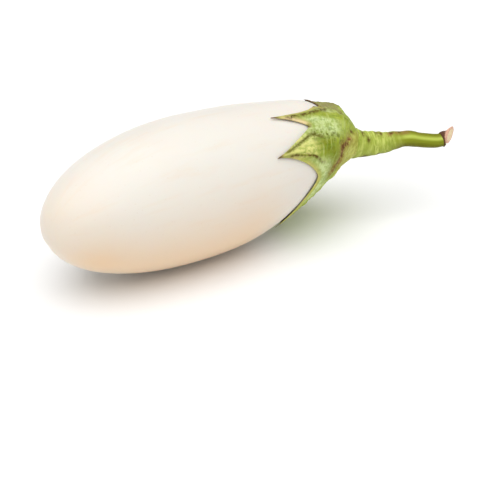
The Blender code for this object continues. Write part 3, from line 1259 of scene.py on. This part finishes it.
    def curl(self, sheet: Sheet) -> np.ndarray:
        """How far a sheet stands off the skin: its lobes' curl times the square of the way to the margin.

        Args:
            sheet: The sheet.

        Returns:
            The lift in metres.
        """
        outer = smooth_step(0.45, 1.0, sheet.share)
        middle = smooth_step(0.3, 1.0, sheet.columns["nearness"])
        return MM * sheet.columns["curl"] * outer**2 * (0.35 + 0.65 * middle)

    def marks_and_shadows(self, sheet: Sheet, near: dict[str, np.ndarray]) -> np.ndarray:
        """The dark marks: rough bark along the upper keel, a painted shadow line along the lower keel, dark
        marks down the middles of the other lobes, and painted shade on the folded edge of the top lobe.

        Args:
            sheet: The outer sheet.
            near: Its grids from fields.

        Returns:
            A grid from 0 to 1.
        """
        degrees = sheet.degrees
        found = np.zeros(sheet.distance.shape)
        for name, keel in (("lower_keel", self.lower_keel), ("upper_keel", self.upper_keel)):
            start, end = keel.mark_start, keel.mark_end
            live = between(near[name + "_along"], start, start + 0.1, end - 0.15, end)
            found = np.maximum(found, swell(near[name], 0.0, keel.mark_width) * live)
        front = (degrees > 20.0) & (degrees < 84.0)
        middle = 0.7 * swell(1.0 - sheet.columns["nearness"], 0.0, 0.10) * smooth_step(0.35, 0.6, sheet.share)
        found = np.maximum(found, np.where(front, 0.0, middle))
        # painted shade under the top lobe's folded, lifted edge
        folded = swell(near["margin"], 0.0, 0.0013) * between(degrees, 83.0, 86.0, 96.0, 101.0)
        return np.maximum(found, folded)

    def pale_parts(self, sheet: Sheet, inside: np.ndarray) -> tuple[np.ndarray, np.ndarray]:
        """The pale leaf between the lobes' middles, and the band where it runs along the notch in front.

        Args:
            sheet: The outer sheet.
            inside: How far each point is from the margin.

        Returns:
            The pale field, and the band that it runs in.
        """
        degrees, distance = sheet.degrees, sheet.distance
        pale = smooth_step(0.020, 0.034, distance) * smooth_step(0.72, 0.30, sheet.columns["nearness"])
        pale = pale * smooth_step(0.0, 0.003, inside) * (1.0 - 0.5 * smooth_step(0.034, 0.028, distance))
        pale = pale * (1.0 - 0.75 * swell(degrees, 88.0, 12.0))
        band = between(degrees, 36.0, 41.0, 56.0, 60.0)
        return np.maximum(pale, 0.9 * band * swell(inside, 0.0, 0.0026)), band

    def masks(self, sheet: Sheet, near: dict[str, np.ndarray]) -> dict[Mask, np.ndarray]:
        """The fields that the finish reads on the outer sheet.

        Args:
            sheet: The outer sheet.
            near: Its grids from fields.

        Returns:
            Grids from 0 to 1 by mask, and the flow coordinates.
        """
        distance, turn, inside = sheet.distance, sheet.turn, near["margin"]
        skin, degrees = self.form.skin(distance, turn), sheet.degrees
        pale, band = self.pale_parts(sheet, inside)
        fold_live = between(near["fold_along"], 0.05, 0.2, 0.75, 1.0)
        warm = swell(inside, 0.0, 0.0009) * between(degrees, 58.5, 61.0, 68.0, 71.0)
        # painted light: the lower front lobe's facet between the fold and the keel is made paler, as if lit
        light = smooth_step(0.0, 0.0007, near["fold"]) * smooth_step(0.0002, 0.0006, near["lower_keel"])
        light = light * smooth_step(0.040, 0.050, distance) * between(degrees, 27.0, 31.0, 46.0, 52.0)
        scar = np.zeros(distance.shape)
        for place, spin, size in self.spots:
            spot = self.form.skin(place * MM, math.radians(spin))
            scar = np.maximum(scar, swell(np.linalg.norm(skin - spot, axis=-1), 0.0, size * MM))
        dull = np.minimum(1.4 * swell(degrees, 97.0, 17.0), 1.0)
        dry = smooth_step(0.0046, 0.0012, sheet.columns["tip"] - distance)
        foot_edge = self.foot_distance(turn)
        return {
            Mask.FLOW: self.form.flow(distance, turn),
            Mask.RIM: swell(inside, 0.0, 0.0012) * (1.0 - 0.85 * band),
            Mask.TIP: np.maximum(dry, sheet.columns["tooth"] ** 2 * smooth_step(0.93, 1.0, sheet.share)),
            Mask.KEEL: self.marks_and_shadows(sheet, near),
            # painted shade along the fold's crease
            Mask.CREASE_SHADE: swell(near["fold"], 0.0, 0.0008) * fold_live,
            Mask.PALE: pale,
            Mask.PAINTED_LIGHT: light,
            Mask.DULL: dull * smooth_step(0.020, 0.028, distance),
            Mask.BLOT: swell(near["blot"], 0.0, 0.0026),
            Mask.DEEP_GREEN_AND_PAINTED_SHADE: swell(near["dark"], 0.0, 0.0052),
            Mask.WARM_TINT_AND_PAINTED_SHADE: warm * smooth_step(0.0615, 0.0560, distance),
            Mask.FOOT: np.maximum(swell(near["foot"], 0.0, 0.0012), 0.6 * swell(near["foot"], 0.0, 0.0023)),
            Mask.SCAR: scar,
            Mask.UNDERSIDE_SHADE: np.zeros(distance.shape),
            Mask.NECK: 1.0 - smooth_step(foot_edge - 0.0012, foot_edge, distance),
        }

    def make(self) -> bpy.types.Object:
        """One closed surface: the inner sheet from the pole to the margin, a half-round rim, and the
        outer sheet back to the crown. The rim is half a circle from the inner margin point to the outer.

        Returns:
            The cap.
        """
        sheet, under = self.grid(self.outer_rows, 1.0), self.grid(self.inner_rows, self.inner_crowd)
        near = self.fields(sheet)
        outer = self.settled(sheet, self.relief(sheet, near) + self.curl(sheet))
        lift = self.form.outward(under.distance, under.turn)
        inner = self.form.skin(under.distance, under.turn) + lift * (self.gap + self.curl(under))[..., None]
        low, high = inner[-1], outer[-1]
        along = np.roll(high, -1, axis=0) - np.roll(high, 1, axis=0)
        out = unit(np.cross(along, high - low))
        out *= np.sign(np.einsum("ij,ij->i", out, high - outer[-3]))[:, None]
        swing = (np.arange(1, self.rim_rows + 1) / (self.rim_rows + 1.0) * math.pi)[:, None, None]
        radius = np.linalg.norm(high - low, axis=-1)[None, :, None] / 2.0
        rim = (low + high) / 2.0 - (high - low) / 2.0 * np.cos(swing) + out * radius * np.sin(swing)
        masks = {}
        for mask, values in self.masks(sheet, near).items():
            if mask is Mask.FLOW:
                below = self.form.flow(under.distance, under.turn)
            else:
                # the inner sheet carries the painted underside shade
                below = np.full(inner.shape[:2], float(mask is Mask.UNDERSIDE_SHADE))
            edge = np.broadcast_to(values[-1], (self.rim_rows, *values[-1].shape))
            masks[mask] = np.concatenate([below, edge, values[::-1]])
        pole, outward = self.form.stem_pole()
        ends = pole + outward * self.gap, pole + outward * self.crown_height
        rings = np.concatenate([inner, rim, outer[::-1]])
        return closed_piece("eggplant_cap", rings, ends, masks, self.finish.make())


@dataclass(frozen=True)
class Section:
    """One section of the cut end, in millimetres and shares.

    It has its place along the stem, its radius, and its shares of the turn towards the cut's heading, of
    dark collar, and of pale face.
    """

    along: float
    radius: float
    turned: float
    collar: float
    face: float


@dataclass
class Stem:
    """The stem: a flared root on the cap, a thick wrinkled neck, a slim shank, and the cut end.

    The rises of its middle line and its radii are given at places along it, all in millimetres. The brown
    spots are given by place, turn in degrees, and size.
    """

    calyx: Calyx
    finish: StemFinish = StemFinish()
    cut_finish: CutFinish = CutFinish()
    length: float = 0.0542
    plain_length: float = 0.054
    heading: float = math.radians(18)
    droop: float = math.radians(6.5)
    rises: tuple[Pair, ...] = (
        (0, -0.3), (6, 0.2), (12, 0.45), (20, 0.8), (26, 1.7), (32, 2.1), (37, 1.25), (42, 0.5), (47, 0.1),
        (50, 0.3), (52, 0.9), (54.2, 2.8), (57, 3.6),
    )
    radii: tuple[Pair, ...] = (
        (0, 7.8), (3, 7.5), (6, 6.9), (10, 6.4), (14, 6.1), (18, 5.6), (22, 5.0), (26, 4.5), (29, 4.05),
        (32, 4.1), (35, 4.05), (38, 3.8), (44, 3.7), (48, 3.6), (51, 3.45), (54.2, 3.5),
    )
    spots: tuple[tuple[float, float, float], ...] = (
        (5, 70, 1.3), (8, 42, 1.2), (14, 84, 1.1), (16.5, 76, 0.9), (23, 84, 1.2), (27, 82, 0.9),
        (7.5, -55, 1.5), (15, -50, 1.1),
    )
    stations: int = 250
    columns: int = 96
    flow_radius: float = 0.005
    end_gap: float = 0.0022
    cut_start: float = 0.0030
    cut_rings: int = 72
    cut_heading: Pair = (math.radians(66), math.radians(3))
    sections: tuple[Section, ...] = (
        Section(0.0, 3.20, 0.0, 1.0, 0.0),
        Section(0.2, 3.80, 0.0, 1.0, 0.0),
        Section(0.9, 4.00, 0.1, 1.0, 0.0),
        Section(1.5, 3.80, 0.35, 1.0, 0.0),
        Section(2.0, 3.40, 0.6, 0.9, 0.0),
        Section(2.6, 3.50, 0.8, 0.1, 0.0),
        Section(3.3, 4.05, 0.95, 0.0, 0.0),
        Section(4.0, 4.45, 1.0, 0.0, 0.0),
        Section(4.6, 4.50, 1.0, 0.0, 0.1),
        Section(4.9, 4.20, 1.0, 0.0, 0.1),
        Section(4.9, 3.60, 1.0, 0.0, 0.2),
        Section(4.6, 2.50, 1.0, 0.0, 1.0),
        Section(4.5, 0.50, 1.0, 0.0, 1.0),
    )

    def __post_init__(self) -> None:
        """Lays the plain middle line: a cubic Bezier from the crown to the tip, and its lengths."""
        middle, outward = self.calyx.crown()
        side, drop = math.sin(self.heading), math.sin(self.droop)
        ahead = unit(np.array([math.cos(self.heading), -side, -drop]))
        reach = self.plain_length
        tip = middle + ahead * reach
        first, second = middle + outward * reach * 0.17, tip - ahead * reach * 0.62
        t = np.linspace(0.0, 1.0, 1001)[:, None]
        u = 1.0 - t
        self.path = middle * u**3 + first * 3.0 * u * u * t + second * 3.0 * u * t * t + tip * t**3
        steps = np.linalg.norm(np.diff(self.path, axis=0), axis=1)
        self.lengths = np.concatenate([[0.0], np.cumsum(steps)])

    def eased(self, pairs: tuple[Pair, ...], distance: np.ndarray) -> np.ndarray:
        """A value between its set places along the stem, on a smooth curve through them.

        Args:
            pairs: Places and values, in millimetres.
            distance: Metres along the stem.

        Returns:
            The values in metres.
        """
        curve = smooth_line(np.array(pairs, float), 400)
        return np.interp(distance / MM, curve[:, 0], curve[:, 1]) * MM

    def line(self, distance: np.ndarray) -> np.ndarray:
        """The stem's middle line: the plain line, raised by its set rises, and straight on past its ends.

        Args:
            distance: Metres along the stem.

        Returns:
            Its points.
        """
        plain = np.stack([np.interp(distance, self.lengths, row) for row in self.path.T], axis=-1)
        past = np.maximum(distance - self.lengths[-1], 0.0) + np.minimum(distance, 0.0)
        start, end = unit(self.path[1] - self.path[0]), unit(self.path[-1] - self.path[-2])
        ahead = np.where((distance < 0.0)[..., None], start, end)
        rise = np.array([0.0, 0.0, 1.0]) * self.eased(self.rises, distance)[..., None]
        return plain + ahead * past[..., None] + rise

    def axes(self, distance: np.ndarray) -> tuple[np.ndarray, np.ndarray, np.ndarray]:
        """Unit vectors along the stem, to its front and to its top, from the line's steps.

        Args:
            distance: Metres along the stem.

        Returns:
            The three sets of vectors.
        """
        step = 0.0008
        ahead = unit(self.line(distance + step) - self.line(distance - step))
        front = unit(np.cross(ahead, np.array([0.0, 0.0, 1.0])))
        return ahead, front, np.cross(front, ahead)

    def shank(self, distance: np.ndarray, turn: np.ndarray) -> np.ndarray:
        """Points round the stem, with wrinkles across the neck and low ribs along the shank.

        Args:
            distance: Metres along the stem.
            turn: Radians round it, from the front towards the top.

        Returns:
            The points.
        """
        _, front, top = self.axes(distance)
        out = front * np.cos(turn)[..., None] + top * np.sin(turn)[..., None]
        plain = self.line(distance) + out * self.eased(self.radii, distance)[..., None]
        neck = 1.0 - smooth_step(0.018, 0.032, distance)
        folds = lumps(self.flow(distance, turn) * np.array([0.55, 0.55, 1.0]), 0.0030, 31)
        ribs = np.sin(5.0 * turn + 0.8 * np.sin(distance / 0.011))
        bumps = lumps(plain, 0.007, 37) * (0.3 + 0.7 * neck)
        height = 0.00024 * folds * neck + 0.00010 * ribs + 0.00016 * bumps
        return plain + out * height[..., None]

    def flow(self, distance: np.ndarray, turn: np.ndarray) -> np.ndarray:
        """Coordinates that follow the surface: a circle of fixed radius round, and the distance along."""
        return wrapped_place(self.flow_radius, distance, turn)

    def make(self) -> list[bpy.types.Object]:
        """The stem as one closed surface of rings along its line, from inside the crown, and its cut end.

        Returns:
            The stem and the cut end.
        """
        turn = np.linspace(0.0, math.tau, self.columns, endpoint=False)[None, :]
        distance = np.linspace(-0.0005, self.length - self.end_gap, self.stations)[:, None]
        distance, turn = np.broadcast_arrays(distance, turn)
        ends = self.line(distance[0, :1])[0], self.line(distance[-1, :1])[0]
        rings, masks = self.shank(distance, turn), self.masks(distance, turn)
        return [closed_piece("eggplant_stem", rings, ends, masks, self.finish.make()), self.cut_end()]

    def masks(self, distance: np.ndarray, turn: np.ndarray) -> dict[Mask, np.ndarray]:
        """The fields that the finish reads on the stem.

        Args:
            distance: Metres along the stem.
            turn: Radians round it.

        Returns:
            Grids by mask.
        """
        level = np.sin(turn)
        # painted shade: the stem's underside made darker, and a dark line along its top
        shade = 0.85 * smooth_step(0.15, -0.75, level) * smooth_step(0.016, 0.030, distance)
        shade = np.maximum(shade, 0.55 * smooth_step(-0.35, -0.95, level))
        shade = np.maximum(shade, 0.5 * swell(level, 1.0, 0.12) * smooth_step(0.026, 0.032, distance))
        # painted highlight: a pale band along the stem's upper side
        light = 0.9 * swell(level, 0.62, 0.24) * smooth_step(0.022, 0.032, distance)
        scar = np.zeros(distance.shape)
        for place, spin, size in self.spots:
            around = turn_apart(turn, math.radians(spin)) * self.flow_radius
            scar = np.maximum(scar, swell(np.hypot(distance - place * MM, around), 0.0, size * MM))
        return {
            Mask.FLOW: self.flow(distance, turn),
            Mask.NECK: 1.0 - smooth_step(0.019, 0.031, distance),
            Mask.DEEP_GREEN_AND_PAINTED_SHADE: shade,
            Mask.PAINTED_LIGHT: light * smooth_step(-0.6, 0.3, np.cos(turn)),
            Mask.KEEL: swell(distance, 0.025, 0.0085) * smooth_step(0.6, 0.95, np.sin(turn - 0.15)),
            Mask.SCAR: scar,
        }

    def cut_end(self) -> bpy.types.Object:
        """The cut end: rings through its sections, from the collar to the face, whose axis turns from the
        stem's own to the cut's, with a wavy rim.

        Returns:
            The cut end.
        """
        base = self.length - self.cut_start
        rows = [(s.along, s.radius, s.turned, s.collar, s.face) for s in self.sections]
        places, radii, turned, collar, face = smooth_line(np.array(rows), self.cut_rings).T[:, :, None]
        along, turned = places * MM, np.clip(turned, 0.0, 1.0)
        turn = np.linspace(0.0, math.tau, self.cut_rings, endpoint=False)[None, :]
        side, drop = self.cut_heading
        cut = np.array([math.cos(side) * math.cos(drop), -math.sin(side) * math.cos(drop), -math.sin(drop)])
        ahead = self.axes(np.array([base]))[0][0]
        axis = unit(ahead * (1.0 - turned) + cut * turned)
        front = unit(np.cross(axis, np.array([0.0, 0.0, 1.0])))
        top = np.cross(front, axis)
        wave = 0.03 * np.sin(3.0 * turn + 0.6) + 0.02 * np.sin(7.0 * turn)
        radius = radii * MM * (1.0 + wave * smooth_step(0.0028, 0.0040, along))
        out = front[:, None, :] * np.cos(turn)[..., None] + top[:, None, :] * np.sin(turn)[..., None]
        middle = self.line(base + along[:, 0])
        rings = middle[:, None, :] + out * radius[..., None]
        masks = {
            Mask.SCAR: np.broadcast_to(collar, radius.shape),
            Mask.FACE: np.broadcast_to(face, radius.shape),
        }
        ends = middle[0], middle[-1]
        return closed_piece("eggplant_stem_cut", rings, ends, masks, self.cut_finish.make())


@dataclass
class Studio:
    """A plain pale floor, one wide soft light in a white world, and the camera."""

    form: FruitForm
    finish: FloorFinish = FloorFinish()
    azimuth: float = math.radians(-32.9)
    elevation: float = math.radians(28.0)
    camera_distance: float = 0.6293
    lens: float = 94.4
    aim_right: float = 0.0269
    aim_down: float = 0.0311
    roll: float = math.radians(1.33)
    floor_half: float = 3.0
    floor_level: float = -0.00015
    world_strength: float = 0.42
    key_strength: float = 2.45
    key_spread: float = math.radians(75)
    key_from: tuple[float, float, float] = (-0.14, -0.12, 0.96)

    def view_axes(self) -> tuple[np.ndarray, np.ndarray, np.ndarray]:
        """Unit vectors back to the camera, to its right and to its top."""
        sin_a, cos_a = math.sin(self.azimuth), math.cos(self.azimuth)
        sin_e, cos_e = math.sin(self.elevation), math.cos(self.elevation)
        back = np.array([sin_a * cos_e, -cos_a * cos_e, sin_e])
        right = np.array([cos_a, sin_a, 0.0])
        return back, right, np.cross(back, right)

    def make_camera(self) -> bpy.types.Object:
        """The camera, from its place in front of the fruit, aimed beside and below the fruit's middle.

        Returns:
            The camera.
        """
        back, right, top = self.view_axes()
        eye = self.form.place + back * self.camera_distance
        target = self.form.place + right * self.aim_right - top * self.aim_down
        away = unit(eye - target)
        sideways = unit(np.cross(np.array([0.0, 0.0, 1.0]), away))
        upright = np.cross(away, sideways)
        cos_r, sin_r = math.cos(self.roll), math.sin(self.roll)
        sideways, upright = sideways * cos_r + upright * sin_r, upright * cos_r - sideways * sin_r
        data = bpy.data.cameras.new("camera")
        data.lens, data.sensor_width = self.lens, 36.0
        data.clip_start, data.clip_end = 0.01, 20.0
        camera = aimed("camera", data, (sideways, upright, away), eye)
        bpy.context.scene.camera = camera
        return camera

    def make_floor(self) -> bpy.types.Object:
        """A level square on a grid of two parameters, just under the flat spot.

        Returns:
            The floor.
        """
        count = 9
        side = np.linspace(-self.floor_half, self.floor_half, count)
        x, y = np.meshgrid(side, side)
        points = np.stack([x, y, np.full_like(x, self.floor_level)], axis=-1).reshape(-1, 3)
        start = (np.arange(count - 1)[:, None] * count + np.arange(count - 1)).ravel()
        faces = np.stack([start, start + 1, start + count + 1, start + count], axis=-1)
        mesh = bpy.data.meshes.new("floor")
        mesh.from_pydata(points.tolist(), [], faces.tolist())
        mesh.update()
        mesh.materials.append(self.finish.make())
        return linked("floor", mesh)

    def make_light(self) -> bpy.types.Object:
        """One wide, even light from above, a little to the left and the front, like a big soft panel.

        Returns:
            The light.
        """
        data = bpy.data.lights.new("key", "SUN")
        data.energy, data.angle = self.key_strength, self.key_spread
        away = unit(np.array(self.key_from))
        sideways = unit(np.cross(np.array([0.0, 1.0, 0.0]), away))
        return aimed("key", data, (sideways, np.cross(away, sideways), away), away)

    def make(self) -> bpy.types.Object:
        """Sets the world, the view transform, the light, the camera and the floor.

        Returns:
            The floor.
        """
        world = bpy.data.worlds.new("soft_white")
        world.use_nodes = True
        ground = world.node_tree.nodes["Background"]
        ground.inputs["Color"].default_value = (1.0, 1.0, 1.0, 1.0)
        ground.inputs["Strength"].default_value = self.world_strength
        bpy.context.scene.world = world
        bpy.context.scene.view_settings.view_transform = "Standard"
        bpy.context.scene.view_settings.look = "None"
        self.make_light()
        self.make_camera()
        return self.make_floor()


def main() -> None:
    """Builds the pieces in order, ties each to the root body, hides the part node that it stands for, and
    notes the fruit's box and each piece's faces.
    """
    logging.basicConfig(level=logging.INFO, format="%(name)s: %(message)s")
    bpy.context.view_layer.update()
    form = FruitForm()
    calyx = Calyx(form)
    fruit = Fruit(form).make()
    cap = calyx.make()
    stem, cut = Stem(calyx).make()
    nodes = (fruit, "fruit", "skin"), (cap, "calyx", "calyx"), (stem, "stem", "stem"), (cut, "stem", "stem")
    for piece, node, slot in nodes:
        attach(piece, "root")
        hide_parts(node)
        log.info("%s: %d faces, stands for %s", piece.name, len(piece.data.polygons), node)
    Studio(form).make()


if __name__ == "__main__":
    main()
